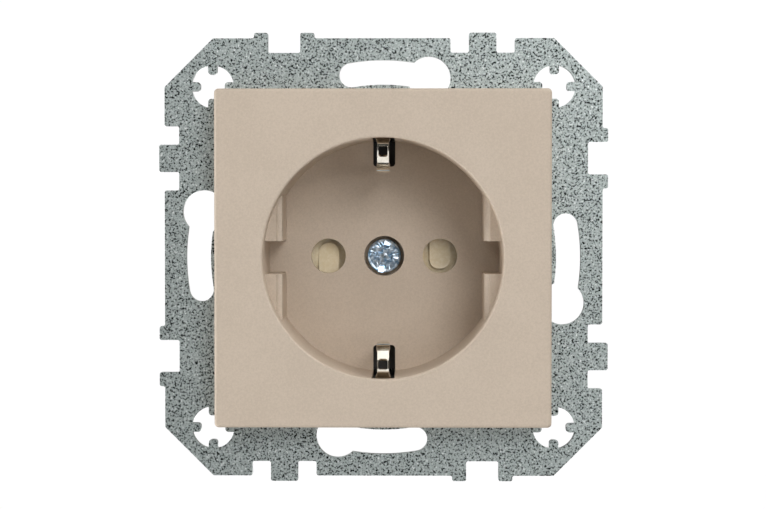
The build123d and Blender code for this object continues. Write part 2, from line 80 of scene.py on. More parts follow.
def add_node(
    tree: bpy.types.NodeTree,
    kind: str,
    settings: dict[str | int, Any] | None = None,
    links: dict[str | int, bpy.types.NodeSocket] | None = None,
) -> bpy.types.NodeOutputs:
    """Add one shader node with its settings and links.

    Args:
        tree: The material's or world's node tree.
        kind: Blender's name for the node type.
        settings: Values for its inputs or properties, by name or by place. The key
            "stops" fills a colour ramp with positions and sRGB colours.
        links: Sockets of other nodes to join to its inputs, by name or by place.

    Returns:
        The new node's outputs.
    """
    node = tree.nodes.new(kind)
    for name, value in (settings or {}).items():
        if name == "stops":
            elements = node.color_ramp.elements
            for place, (position, colour) in enumerate(value):
                element = elements[place] if place < len(elements) else elements.new(position)
                element.position = position
                element.color = linear(colour)
        elif isinstance(name, int) or name in node.inputs:
            node.inputs[name].default_value = value
        else:
            setattr(node, name, value)
    for name, socket in (links or {}).items():
        tree.links.new(socket, node.inputs[name])
    return node.outputs


@dataclass(frozen=True)
class Finish:
    """A real material with its process, which knows how to paint itself."""

    name: str

    def paint(self, tree: bpy.types.NodeTree) -> None:
        """Fill an empty node tree. Each finish has its own way."""
        raise NotImplementedError

    def material(self) -> bpy.types.Material:
        """Give the finish's material, which is made once and then shared.

        Returns:
            The material.
        """
        known = bpy.data.materials.get(self.name)
        if known:
            return known
        made = bpy.data.materials.new(self.name)
        made.use_nodes = True
        made.node_tree.nodes.clear()
        self.paint(made.node_tree)
        return made


@dataclass(frozen=True)
class MouldedPlastic(Finish):
    """An opaque thermoplastic, injection moulded in a spark-eroded tool.

    The eroded tool leaves a fine matt grain, so highlights spread into a soft sheen. The
    colour drifts by a shade over centimetres, as it does where the melt flowed.
    """

    light: str
    deep: str
    roughness: float
    # Real spark-eroded grain is about 0.05 mm wide, drawn coarser here so that it shows
    grain_mm: float
    grain_height_mm: float
    drift_mm: float = 9.0

    def paint(self, tree: bpy.types.NodeTree) -> None:
        """Lay the grain over the slow drift of colour."""
        place = add_node(tree, "ShaderNodeTexCoord")["Object"]
        self.finish_grain(tree, place, None)

    def finish_grain(
        self, tree: bpy.types.NodeTree, place: bpy.types.NodeSocket, under: bpy.types.NodeSocket | None
    ) -> None:
        """Close the tree with the grain, laid on a coarser relief where there is one.

        Args:
            tree: The material's node tree.
            place: The coordinates of the surface.
            under: The normal of a coarser relief, or None.
        """
        grain = add_node(
            tree, "ShaderNodeTexNoise", {"Scale": per_metre(self.grain_mm), "Detail": 2.0, "Roughness": 0.6},
            {"Vector": place},
        )["Fac"]
        drift = add_node(
            tree, "ShaderNodeTexNoise", {"Scale": per_metre(self.drift_mm), "Detail": 2.0}, {"Vector": place}
        )["Fac"]
        mottle = add_node(tree, "ShaderNodeMix", {0: 0.3}, {2: grain, 3: drift})[0]
        colour = add_node(
            tree, "ShaderNodeValToRGB", {"stops": [(0.38, self.deep), (0.62, self.light)]}, {"Fac": mottle}
        )["Color"]
        relief = add_node(
            tree, "ShaderNodeBump", {"Distance": self.grain_height_mm * MM},
            {"Height": grain} if under is None else {"Height": grain, "Normal": under},
        )["Normal"]
        surface = add_node(
            tree, "ShaderNodeBsdfPrincipled", {"Roughness": self.roughness, "IOR": 1.5},
            {"Base Color": colour, "Normal": relief},
        )["BSDF"]
        add_node(tree, "ShaderNodeOutputMaterial", None, {"Surface": surface})


@dataclass(frozen=True)
class HousingPlastic(MouldedPlastic):
    """The housing's plastic, which also shows how it left its tool.

    Four ejector pins leave shallow round marks on the rear, and the two halves of the
    tool leave a thin raised line round the sides.
    """

    pin_offset_mm: float = 13.0
    pin_radius_mm: float = 2.5
    mark_depth_mm: float = 0.12
    mark_edge_mm: float = 0.2
    parting_mm: float = 16.5
    parting_width_mm: float = 0.22
    parting_height_mm: float = 0.04

    def paint(self, tree: bpy.types.NodeTree) -> None:
        """Add the tool's marks under the moulded grain.

        Args:
            tree: The material's node tree.
        """
        place = add_node(tree, "ShaderNodeTexCoord")["Object"]
        fold = add_node(tree, "ShaderNodeVectorMath", {"operation": "ABSOLUTE"}, {0: place})["Vector"]
        flat = add_node(
            tree, "ShaderNodeVectorMath", {"operation": "MULTIPLY", 1: (1, 0, 1)}, {0: fold}
        )["Vector"]
        pin = Vector((self.pin_offset_mm, 0, self.pin_offset_mm)) * MM
        distance = add_node(
            tree, "ShaderNodeVectorMath", {"operation": "DISTANCE", 1: pin}, {0: flat}
        )["Value"]
        radius = self.pin_radius_mm * MM
        dish = add_node(
            tree, "ShaderNodeMapRange",
            {
                "interpolation_type": "SMOOTHSTEP", "From Min": radius,
                "From Max": radius + self.mark_edge_mm * MM,
            },
            {"Value": distance},
        )["Result"]
        level = add_node(tree, "ShaderNodeSeparateXYZ", None, {"Vector": place})["Y"]
        line = add_node(
            tree, "ShaderNodeMath",
            {"operation": "COMPARE", 1: self.parting_mm * MM, 2: self.parting_width_mm * MM / 2}, {0: level},
        )[0]
        dished = add_node(
            tree, "ShaderNodeBump", {"Distance": self.mark_depth_mm * MM}, {"Height": dish}
        )["Normal"]
        lined = add_node(
            tree, "ShaderNodeBump", {"Distance": self.parting_height_mm * MM},
            {"Height": line, "Normal": dished},
        )["Normal"]
        self.finish_grain(tree, place, lined)


@dataclass(frozen=True)
class GalvanisedSteel(Finish):
    """Cold-rolled sheet, galvanised before it was stamped.

    The zinc freezes into fine grains at all angles, so the eye gets a cold grey peppered
    with dark and bright specks. The stamped edges are bare and plainer, and drawn lighter
    than the sheet: partly bare steel, partly a painted highlight along the cut edges.
    """

    dark: str
    middle: str
    bright: str
    # edge: bare cut steel, drawn lighter than the sheet as a painted highlight
    edge: str
    # Real grains are 0.1 to 0.5 mm wide, drawn at the coarse end so that they show
    speck_mm: float
    roughness: float
    # The yoke's sheet faces the room and the wall, so its cut edges are known by their heading;
    # they take the lighter edge colour, which is bare steel and also a painted highlight
    bare_edges_with_painted_highlight: bool = True
    speck_height_mm: float = 0.02

    def paint(self, tree: bpy.types.NodeTree) -> None:
        """Pepper the sheet's faces and give its cut edges plain bare steel, drawn lighter as a painted
        highlight.

        Args:
            tree: The material's node tree.
        """
        coordinates = add_node(tree, "ShaderNodeTexCoord")
        specks = add_node(
            tree, "ShaderNodeTexNoise", {"Scale": per_metre(self.speck_mm), "Detail": 2.0, "Roughness": 0.7},
            {"Vector": coordinates["Object"]},
        )["Fac"]
        sheet = add_node(
            tree, "ShaderNodeValToRGB",
            {"stops": [(0.4, self.dark), (0.465, self.middle), (0.59, self.middle), (0.73, self.bright)]},
            {"Fac": specks},
        )["Color"]
        # The cut edges get one plain, lighter colour: bare steel, with a painted highlight in its lightness
        if self.bare_edges_with_painted_highlight:
            facing = add_node(tree, "ShaderNodeSeparateXYZ", None, {"Vector": coordinates["Normal"]})["Y"]
            sheared_edge_painted_highlight = add_node(
                tree, "ShaderNodeMath", {"operation": "COMPARE", 1: 0.0, 2: 0.5}, {0: facing}
            )[0]
            sheet = add_node(
                tree, "ShaderNodeMix", {"data_type": "RGBA", 7: linear(self.edge)}, {0: sheared_edge_painted_highlight, 6: sheet}
            )[2]
        relief = add_node(
            tree, "ShaderNodeBump", {"Distance": self.speck_height_mm * MM}, {"Height": specks}
        )["Normal"]
        surface = add_node(
            tree, "ShaderNodeBsdfPrincipled", {"Roughness": self.roughness, "Metallic": 1.0},
            {"Base Color": sheet, "Normal": relief},
        )["BSDF"]
        add_node(tree, "ShaderNodeOutputMaterial", None, {"Surface": surface})


@dataclass(frozen=True)
class PlatedMetal(Finish):
    """Strip, wire or turned steel with a thin plated coat, or bare brass.

    Rolling and bending leave fine lines, which the plating fills only in part, so
    highlights break up slightly.
    """

    light: str
    deep: str
    roughness: float
    # Real rolling lines are finer than a pixel, so these are drawn a few pixels long
    line_mm: float
    line_height_mm: float
    lines_per_cloud: float = 6.0

    def paint(self, tree: bpy.types.NodeTree) -> None:
        """Lay fine lines on a slightly clouded coat.

        Args:
            tree: The material's node tree.
        """
        place = add_node(tree, "ShaderNodeTexCoord")["Object"]
        lines = add_node(
            tree, "ShaderNodeTexNoise", {"Scale": per_metre(self.line_mm), "Detail": 3.0, "Roughness": 0.6},
            {"Vector": place},
        )["Fac"]
        cloud = add_node(
            tree, "ShaderNodeTexNoise",
            {"Scale": per_metre(self.lines_per_cloud * self.line_mm), "Detail": 2.0}, {"Vector": place},
        )["Fac"]
        colour = add_node(
            tree, "ShaderNodeValToRGB", {"stops": [(0.35, self.deep), (0.65, self.light)]}, {"Fac": cloud}
        )["Color"]
        relief = add_node(
            tree, "ShaderNodeBump", {"Distance": self.line_height_mm * MM}, {"Height": lines}
        )["Normal"]
        surface = add_node(
            tree, "ShaderNodeBsdfPrincipled", {"Roughness": self.roughness, "Metallic": 1.0},
            {"Base Color": colour, "Normal": relief},
        )["BSDF"]
        add_node(tree, "ShaderNodeOutputMaterial", None, {"Surface": surface})


PLATE_PLASTIC = MouldedPlastic("champagne_moulded_plastic", "#CFBFAD", "#C6B6A4", 0.55, 0.3, 0.02)
IVORY_PLASTIC = MouldedPlastic("ivory_moulded_plastic", "#F6E9CD", "#ECDCB8", 0.3, 0.6, 0.005)
# The contact cover is drawn near-black so that the openings behind the clips read dark: painted shade deep in
# those openings
COVER_PLASTIC = MouldedPlastic("near_black_painted_shade_plastic", "#2B2A29", "#232221", 0.5, 0.3, 0.01)
HOUSING_PLASTIC = HousingPlastic("light_grey_moulded_plastic", "#D2D2CE", "#C9C9C4", 0.5, 0.4, 0.01)
# The yoke's cut edges take #D5DAD8, lighter than its sheet: bare steel with a painted highlight
YOKE_STEEL = GalvanisedSteel("galvanised_steel_sheet", "#0F1413", "#B9C2C0", "#FBFEFD", "#D5DAD8", 0.32, 0.48)
CLAW_STEEL = GalvanisedSteel(
    "galvanised_steel_strip", "#3A403F", "#B2BAB7", "#F2F6F4", "#D5DAD8", 0.36, 0.5, bare_edges_with_painted_highlight=False
)
CLIP_NICKEL = PlatedMetal("nickel_plated_strip", "#F0EBE0", "#DDD6C8", 0.12, 0.5, 0.002)
SCREW_ZINC = PlatedMetal("blue_zinc_plate", "#D6E2EC", "#A9BDCE", 0.3, 0.3, 0.01)
HEAD_ZINC = PlatedMetal("struck_blue_zinc_plate", "#EAF5FF", "#7FA5C4", 0.28, 0.12, 0.002)
CONTACT_BRASS = PlatedMetal("rolled_brass_strip", "#D9B368", "#B98F45", 0.3, 0.5, 0.004)
SPRING_WIRE = PlatedMetal("drawn_spring_wire", "#8C8C8E", "#6E6E70", 0.35, 0.3, 0.003)


class Slot(Enum):
    """The record's material slots for the screw, strip and shutter; nothing in this script uses them."""

    SCREW = "zinc_plated_steel"
    STRIP = "nickel_strip"
    SHUTTER = "ivory_plastic"


def dress(name: str, finish: Finish) -> None:
    """Give a carried node the material of its finish.

    Args:
        name: The node's name.
        finish: What it is made of.
    """
    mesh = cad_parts[name].data
    mesh.materials.clear()
    mesh.materials.append(finish.material())
    LOG.info("%s: %s", name, finish.name)


def new_piece(
    name: str, points: list[Point], faces: list[Face], finish: Finish, body: str
) -> bpy.types.Object:
    """Make one mesh piece in its finish and let it ride on its body.

    Args:
        name: The piece's name.
        points: Its corners in metres.
        faces: Its faces, as places in the list of corners.
        finish: What it is made of.
        body: The body that carries it.

    Returns:
        The new object.
    """
    mesh = bpy.data.meshes.new(name)
    mesh.from_pydata(points, [], faces)
    mesh.polygons.foreach_set("use_smooth", [True] * len(mesh.polygons))
    mesh.set_sharp_from_angle(angle=math.radians(SHARP_EDGE_DEG))
    mesh.materials.append(finish.material())
    piece = bpy.data.objects.new(name, mesh)
    bpy.context.scene.collection.objects.link(piece)
    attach(piece, body)
    LOG.info("%s: %d faces of %s", name, len(faces), finish.name)
    return piece


@dataclass(frozen=True)
class Plate:
    """The moulded face with its recess."""

    def build(self) -> None:
        """Dress the moulding."""
        dress("centre_plate", PLATE_PLASTIC)


@dataclass(frozen=True)
class Yoke:
    """The stamped yoke and the rivets that hold it to the base."""

    def build(self) -> None:
        """Dress the sheet and its rivets."""
        dress("mounting_yoke", YOKE_STEEL)
        dress("yoke_rivets", SCREW_ZINC)


@dataclass(frozen=True)
class RolledThread:
    """A ridge wound round a screw's core, out to the size of the plain shank."""

    middle_mm: Point
    axis: Point
    low_mm: float
    high_mm: float
    radius_mm: float
    pitch_mm: float
    # The ridge's height and the two half widths of its profile, as shares of the pitch
    height_share: float = 0.6
    foot_share: float = 0.46
    crest_share: float = 0.07
    sunk_mm: float = 0.05
    # The plain shank starts this far before the thread and lies outside this radius, with this slack
    lead_in_mm: float = 0.5
    inside_mm: float = 0.5
    slack_mm: float = 0.02
    steps: int = 24

    @property
    def root_mm(self) -> float:
        """Give the radius of the core that the thread stands on."""
        return self.radius_mm - self.height_share * self.pitch_mm

    def wind(self, start: int) -> tuple[list[Point], list[Face]]:
        """Wind the ridge, fading in and out over its first and last turn.

        Args:
            start: How many corners the piece has already.

        Returns:
            The ridge's corners and faces.
        """
        axis = Vector(self.axis)
        side = axis.orthogonal().normalized()
        up = axis.cross(side)
        lead = self.pitch_mm
        count = int((self.high_mm - self.low_mm - 2 * lead) / lead * self.steps)
        foot = self.root_mm - self.sunk_mm
        points: list[Point] = []
        faces: list[Face] = []
        for step in range(count + 1):
            angle = 2 * math.pi * step / self.steps
            along = self.low_mm + lead + lead * step / self.steps
            fade = min(1.0, step / self.steps, (count - step) / self.steps)
            crest = self.root_mm + (self.radius_mm - self.root_mm) * fade
            out = side * math.cos(angle) + up * math.sin(angle)
            profile = (
                (-self.foot_share, foot), (-self.crest_share, crest), (self.crest_share, crest),
                (self.foot_share, foot),
            )
            for shift, radius in profile:
                spot = Vector(self.middle_mm) + axis * (along + shift * lead) + out * radius
                points.append(tuple(spot * MM))
            if step:
                here, last = start + 4 * step, start + 4 * step - 4
                for edge in range(4):
                    after = (edge + 1) % 4
                    faces.append((here + edge, here + after, last + after, last + edge))
        end = start + 4 * count
        faces += [(start, start + 1, start + 2, start + 3), (end + 3, end + 2, end + 1, end)]
        return points, faces

    def core(self, name: str) -> tuple[list[Point], list[Face]]:
        """Copy a carried screw and shrink its shank to the thread's core.

        Args:
            name: The screw's node.

        Returns:
            The corners and faces of the copy.
        """
        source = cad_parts[name].data
        axis = Vector(self.axis)
        middle = Vector(self.middle_mm) * MM
        points = []
        for vertex in source.vertices:
            offset = vertex.co - middle
            along = offset.dot(axis)
            out = offset - axis * along
            threaded = self.low_mm - self.lead_in_mm < along / MM < self.high_mm + self.slack_mm
            if threaded and self.inside_mm < out.length / MM < self.radius_mm + self.slack_mm:
                out = out * (self.root_mm / self.radius_mm)
            points.append(tuple(middle + axis * along + out))
        return points, [tuple(face.vertices) for face in source.polygons]

    def replace(self, name: str, body: str) -> None:
        """Make the threaded screw and let it take the plain one's place.

        Args:
            name: The plain screw's node.
            body: The body that carries it.
        """
        points, faces = self.core(name)
        ridge_points, ridge_faces = self.wind(len(points))
        piece = new_piece(
            f"{name}_threaded", points + ridge_points, faces + ridge_faces, SCREW_ZINC, body
        )
        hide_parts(name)


@dataclass(frozen=True)
class CentreScrew:
    """The screw that holds the plate, with its struck and worn head.

    The head is struck with rays, a slot that leans to the right and a cross for the other
    driver. The two ends of the slot are pushed up into bright lumps.
    """

    front_mm: float = 11.4
    head_radius_mm: float = 2.875
    rim_mm: float = 0.1
    head_height_mm: float = 1.8
    shank_radius_mm: float = 1.5
    tip_mm: float = 19.8
    chamfer_mm: float = 0.3
    lean_deg: float = 13.0
    slot_half_mm: float = 0.5
    cross_half_mm: float = 1.3
    arm_half_mm: float = 0.42
    socket_depth_mm: float = 0.32
    socket_edge_mm: float = 0.16
    pip_radius_mm: float = 0.45
    pip_mm: float = 0.25
    slot_depth_mm: float = 0.3
    # The lumps' place and run along the slot, their level, and how they fall off right and up
    lump_middle_mm: float = 2.3
    lump_start_mm: float = 0.35
    lump_run_mm: float = 0.2
    lump_level_mm: float = 0.06
    lump_slope: tuple[float, float] = (0.22, 0.26)
    bead_mm: float = 0.12
    bead_radius_mm: float = 2.74
    bead_half_mm: float = 0.13
    wear_mm: float = 0.06
    # The band that the rays fill, and how far in each of its borders fades
    ray_band_mm: tuple[float, float] = (1.4, 2.6)
    ray_fade_mm: tuple[float, float] = (0.3, 0.15)
    ray_depth_mm: float = 0.09
    ray_count: int = 17
    # Rays are struck unevenly: their mean strength, its spread, and how far their phase strays
    ray_strength: float = 0.6
    ray_spread: float = 0.9
    ray_stray: float = 9.0
    # How fast each noise runs round the head and outwards, and where it is taken from
    stray_noise: tuple[float, float, float] = (1.6, 0.5, 0.0)
    spread_noise: tuple[float, float, float] = (2.4, 1.1, 4.0)
    blotch_per_mm: float = 0.9
    blotch_start: float = 7.0
    socket_unevenness: float = 0.25
    rings: int = 56
    sectors: int = 252

    def ripple(self, radius: float, angle: float, around: float, outward: float, seed: float) -> float:
        """Give smooth noise that closes on itself round the head."""
        spot = Vector((around * math.cos(angle), around * math.sin(angle), outward * radius + seed))
        return noise.noise(spot)

    def depth(self, radius: float, angle: float) -> float:
        """Give how far the struck face lies below the head's highest level.

        Args:
            radius: Distance from the middle in millimetres.
            angle: Angle from +X towards +Z in radians.

        Returns:
            The depth in millimetres.
        """
        lean = math.radians(90 - self.lean_deg)
        along = radius * math.cos(angle - lean)
        across = radius * math.sin(angle - lean)
        stray = self.ray_stray * self.ripple(radius, angle, *self.stray_noise)
        strength = self.ray_strength + self.ray_spread * self.ripple(radius, angle, *self.spread_noise)
        ray = strength * (0.5 + 0.5 * math.sin(self.ray_count * angle + stray))
        (inner, outer), (fade_in, fade_out) = self.ray_band_mm, self.ray_fade_mm
        struck = max(0.0, min(1.0, (radius - inner) / fade_in, (outer - radius) / fade_out))
        patch = Vector((self.blotch_per_mm * along, self.blotch_per_mm * across, self.blotch_start))
        blotch = noise.noise(patch)
        level = self.bead_mm + (self.ray_depth_mm * ray ** 2 + self.wear_mm * blotch) * struck
        level -= self.bead_mm * math.exp(-((radius - self.bead_radius_mm) / self.bead_half_mm) ** 2)
        if radius > self.head_radius_mm - self.rim_mm:
            level += (radius - self.head_radius_mm + self.rim_mm) ** 2 / self.rim_mm
        arm = min(
            max(abs(along) - self.cross_half_mm, abs(across) - self.arm_half_mm),
            max(abs(across) - self.cross_half_mm, abs(along) - self.arm_half_mm),
        )
        sunk = max(0.0, min(1.0, 0.5 - arm / self.socket_edge_mm))
        pip = max(0.0, 1.0 - radius / self.pip_radius_mm)
        uneven = 1 - self.socket_unevenness + self.socket_unevenness * blotch
        level += sunk * (self.socket_depth_mm * uneven - self.pip_mm * pip)
        if abs(across) < self.slot_half_mm and abs(along) > self.cross_half_mm:
            past = abs(along) - self.cross_half_mm - self.lump_start_mm
            lump = max(0.0, min(1.0, past / self.lump_run_mm))
            middle = math.copysign(self.lump_middle_mm, along)
            right = radius * math.cos(angle) - middle * math.cos(lean)
            up = radius * math.sin(angle) - middle * math.sin(lean)
            top = self.lump_level_mm + self.lump_slope[0] * right + self.lump_slope[1] * up
            level = (1 - lump) * self.slot_depth_mm + lump * top
        return level

    def build(self) -> None:
        """Sculpt the head on a polar grid and close it with its side, underside and shank."""
        points: list[Point] = [(0.0, (self.front_mm + self.depth(0.0, 0.0)) * MM, 0.0)]
        faces: list[Face] = []
        profile = [
            (self.head_radius_mm, self.front_mm + self.head_height_mm),
            (self.shank_radius_mm, self.front_mm + self.head_height_mm),
            (self.shank_radius_mm, self.tip_mm - self.chamfer_mm),
            (self.shank_radius_mm - self.chamfer_mm, self.tip_mm),
        ]
        turns = [2 * math.pi * sector / self.sectors for sector in range(self.sectors)]
        for ring in range(1, self.rings + 1):
            radius = self.head_radius_mm * ring / self.rings
            for turn in turns:
                level = self.front_mm + self.depth(radius, turn)
                points.append((radius * math.cos(turn) * MM, level * MM, radius * math.sin(turn) * MM))
        for radius, level in profile:
            points += [
                (radius * math.cos(turn) * MM, level * MM, radius * math.sin(turn) * MM) for turn in turns
            ]
        for sector in range(self.sectors):
            after = (sector + 1) % self.sectors
            faces.append((0, 1 + sector, 1 + after))
            for ring in range(self.rings + len(profile) - 1):
                here = 1 + ring * self.sectors
                faces.append(
                    (here + sector, here + self.sectors + sector, here + self.sectors + after, here + after)
                )
        tip = 1 + (self.rings + len(profile) - 1) * self.sectors
        faces.append(tuple(tip + sector for sector in range(self.sectors)))
        piece = new_piece("centre_screw_struck", points, faces, HEAD_ZINC, "base")
        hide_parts("centre_screw")


@dataclass(frozen=True)
class EarthStrap:
    """The strap behind the contacts with its two sprung clips.

    Each clip rises through the plate's opening, arches over towards the plug and ends in
    a narrower tongue that bends back. A window is punched through its crown.
    """

    cut_mm: float = 7.0
    overlap_mm: float = 0.4
    weld_mm: float = 0.001
    thickness_mm: float = 0.8
    rounding_mm: float = 0.1
    leg_mm: float = 20.3
    arch_middle_mm: tuple[float, float] = (18.0, 0.7)
    arch_radius_mm: float = 3.6
    shoulder_radius_mm: float = 1.2
    shoulder_parts: int = 8
    arch_parts: int = 30
    smoothings: int = 3
    tongue_start_mm: float = -3.2
    tongue_end_mm: tuple[float, float] = (14.75, -6.0)
    # Half the strip's width at each part, and from where and over what run it gets there
    leg_half_mm: float = 1.2
    waist_half_mm: float = 0.96
    waist_from_mm: float = 18.9
    waist_run_mm: float = 0.6
    nose_half_mm: float = 1.1
    nose_from_mm: float = 15.6
    nose_run_mm: float = 0.8
    tongue_half_mm: float = 0.75
    tongue_from_mm: float = 2.2
    tongue_run_mm: float = 1.9
    window_mm: tuple[float, float] = (16.66, 18.24)
    window_half_mm: float = 0.74
    window_corner_mm: float = 0.35

    def path(self) -> list[tuple[float, float]]:
        """List the clip's middle line as distance from the axis and level before the wall.

        Returns:
            Points in millimetres from the leg to the end of the tongue.
        """
        across, level = self.arch_middle_mm
        line = [(self.leg_mm, -self.cut_mm - self.overlap_mm), (self.leg_mm, 0.0)]
        middle = self.leg_mm - self.shoulder_radius_mm
        rise = math.sqrt((self.arch_radius_mm - self.shoulder_radius_mm) ** 2 - (middle - across) ** 2)
        meet = math.atan2(rise, middle - across)
        shoulder = (middle, level + rise, self.shoulder_radius_mm, 0.0, meet, self.shoulder_parts)
        arch = (across, level, self.arch_radius_mm, meet, math.pi, self.arch_parts)
        for bend_r, bend_z, radius, first, last, parts in (shoulder, arch):
            for part in range(parts):
                turn = first + (last - first) * part / parts
                line.append((bend_r + radius * math.cos(turn), bend_z + radius * math.sin(turn)))
        inner = across - self.arch_radius_mm
        line += [(inner, level), (inner, self.tongue_start_mm), self.tongue_end_mm]
        for _ in range(self.smoothings):
            cut = [line[0]]
            for (r_a, z_a), (r_b, z_b) in zip(line, line[1:]):
                cut.append((0.75 * r_a + 0.25 * r_b, 0.75 * z_a + 0.25 * z_b))
                cut.append((0.25 * r_a + 0.75 * r_b, 0.25 * z_a + 0.75 * z_b))
            line = cut + [line[-1]]
        return line

    def half_width(self, radius: float, level: float) -> float:
        """Give half the strip's width at a point of its middle line.

        Args:
            radius: Distance from the socket's axis in millimetres.
            level: Distance before the wall in millimetres.

        Returns:
            Half the width in millimetres.
        """
        if radius > self.waist_from_mm:
            part = max(0.0, min(1.0, (self.waist_from_mm + self.waist_run_mm - radius) / self.waist_run_mm))
            return self.leg_half_mm + (self.waist_half_mm - self.leg_half_mm) * part
        if level > self.tongue_from_mm:
            part = max(0.0, (self.nose_from_mm - radius) / self.nose_run_mm)
            return self.waist_half_mm + (self.nose_half_mm - self.waist_half_mm) * part
        part = max(0.0, min(1.0, (self.tongue_from_mm - level) / self.tongue_run_mm))
        return self.nose_half_mm - (self.nose_half_mm - self.tongue_half_mm) * part ** 2

    def window_half(self, radius: float, level: float) -> float:
        """Give half the window's width at a point of the middle line, or 0 outside it.

        Args:
            radius: Distance from the socket's axis in millimetres.
            level: Distance before the wall in millimetres.

        Returns:
            Half the width in millimetres.
        """
        inner, outer = self.window_mm
        edge = min(radius - inner, outer - radius)
        if edge < 0 or level < 0:
            return 0.0
        corner = self.window_corner_mm
        short = max(0.0, corner - edge)
        return self.window_half_mm - corner + math.sqrt(corner ** 2 - short ** 2)

    def link(self, last: int, here: int, is_open: bool) -> list[Face]:
        """List the faces between two neighbouring rings of eight corners.

        Args:
            last: The first corner of the earlier ring.
            here: The first corner of the later ring.
            is_open: Whether the window lies between them.

        Returns:
            The faces of both sides, of the edges and of the window's walls.
        """
        faces: list[Face] = []
        for gap in (0, 2) if is_open else (0, 1, 2):
            faces.append((last + gap, last + gap + 1, here + gap + 1, here + gap))
            faces.append((here + gap + 4, here + gap + 5, last + gap + 5, last + gap + 4))
        walls = ((0, 4), (7, 3)) + (((5, 1), (2, 6)) if is_open else ())
        faces += [(last + low, here + low, here + high, last + high) for high, low in walls]
        return faces

    def clip(self, side: int) -> None:
        """Bend one clip.

        Args:
            side: 1 for the upper clip and -1 for the lower one.
        """
        line = self.path()
        points: list[Point] = []
        faces: list[Face] = []
        open_before = False
        for step, (radius, level) in enumerate(line):
            r_a, z_a = line[max(0, step - 1)]
            r_b, z_b = line[min(len(line) - 1, step + 1)]
            run = Vector((r_b - r_a, z_b - z_a)).normalized()
            out = Vector((run.y, -run.x)) * self.thickness_mm / 2
            half = self.half_width(radius, level)
            window = self.window_half(radius, level)
            columns = (-half, -(window or half / 3), window or half / 3, half)
            for sign in (1, -1):
                height = side * (radius + sign * out.x) * MM
                depth = -(level + sign * out.y) * MM
                points += [(column * MM, depth, height) for column in columns]
            if step:
                here, last = 8 * step, 8 * step - 8
                faces += self.link(last, here, bool(window) and open_before)
                if bool(window) != open_before:
                    edge = here if window else last
                    faces.append((edge + 1, edge + 2, edge + 6, edge + 5))
            open_before = bool(window)
        last = len(points) - 8
        faces += [(0, 4, 5, 1), (1, 5, 6, 2), (2, 6, 7, 3)]
        faces += [(last + gap + 1, last + gap + 5, last + gap + 4, last + gap) for gap in range(3)]
        name = "earth_clip_upper" if side > 0 else "earth_clip_lower"
        piece = new_piece(name, points, faces, CLIP_NICKEL, "base")
        tidy = bmesh.new()
        tidy.from_mesh(piece.data)
        bmesh.ops.recalc_face_normals(tidy, faces=tidy.faces)
        tidy.to_mesh(piece.data)
        tidy.free()
        rounding = piece.modifiers.new("tumbled_edges", "BEVEL")
        rounding.width = self.rounding_mm * MM
        rounding.segments = 2
        rounding.angle_limit = math.radians(SHARP_EDGE_DEG)

    def strap(self) -> None:
        """Copy the carried strap without its clips and let the copy take its place."""
        body = bmesh.new()
        body.from_mesh(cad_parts["earth_strap"].data)
        bmesh.ops.remove_doubles(body, verts=body.verts, dist=self.weld_mm * MM)
        cut = bmesh.ops.bisect_plane(
            body, geom=body.verts[:] + body.edges[:] + body.faces[:], plane_co=(0, self.cut_mm * MM, 0),
            plane_no=(0, 1, 0), clear_inner=True,
        )["geom_cut"]
        bmesh.ops.edgenet_fill(body, edges=[part for part in cut if isinstance(part, bmesh.types.BMEdge)])
        body.verts.index_update()
        points = [tuple(vertex.co) for vertex in body.verts]
        faces = [tuple(vertex.index for vertex in face.verts) for face in body.faces]
        body.free()
        piece = new_piece("earth_strap_bent", points, faces, CLIP_NICKEL, "base")
        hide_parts("earth_strap")

    def build(self) -> None:
        """Make the strap and both clips."""
        self.strap()
        for side in (1, -1):
            self.clip(side)


@dataclass(frozen=True)
class ShutterUnit:
    """The rotary shutter with its spring and the cover that carries it.

    The pad behind each pin hole slopes, so that a pin turns the shutter. Both slopes lean
    the same way round the shutter's pivot.
    """

    hole_mm: float = 9.5
    reach_mm: float = 3.4
    wing_mm: float = 12.7
    pad_height_mm: float = 0.9
    high_mm: tuple[float, float] = (-2.1, -2.4)
    slope: tuple[float, float] = (0.14, 0.16)
    # Corners this near the wing stay, and the pad keeps at least this height
    root_mm: float = 0.1
    thinnest_mm: float = 0.05

    def sloped(self, spot: Vector) -> Point:
        """Lower a corner of a pad by the pad's slope.

        Args:
            spot: A corner of the plain shutter in metres.

        Returns:
            The corner where the sloped shutter has it.
        """
        across, level, up = (value / MM for value in spot)
        turn = 1 if across > 0 else -1
        right, above = turn * across - self.hole_mm, turn * up
        if math.hypot(right, above) > self.reach_mm or level > self.wing_mm - self.root_mm:
            return tuple(spot)
        drop = self.slope[0] * (right - self.high_mm[0]) + self.slope[1] * (above - self.high_mm[1])
        part = (self.wing_mm - level) / self.pad_height_mm
        drop = part * max(0.0, min(self.pad_height_mm - self.thinnest_mm, drop))
        return across * MM, (level + drop) * MM, up * MM

    def build(self) -> None:
        """Slope the shutter's pads, then dress the cover and the spring."""
        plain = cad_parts["shutter"].data
        points = [self.sloped(vertex.co) for vertex in plain.vertices]
        faces = [tuple(face.vertices) for face in plain.polygons]
        piece = new_piece("shutter_sloped", points, faces, IVORY_PLASTIC, "shutter")
        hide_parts("shutter")
        # The cover's near-black colour is painted shade for the openings behind the clips
        dress("contact_cover", COVER_PLASTIC)
        dress("shutter_spring", SPRING_WIRE)


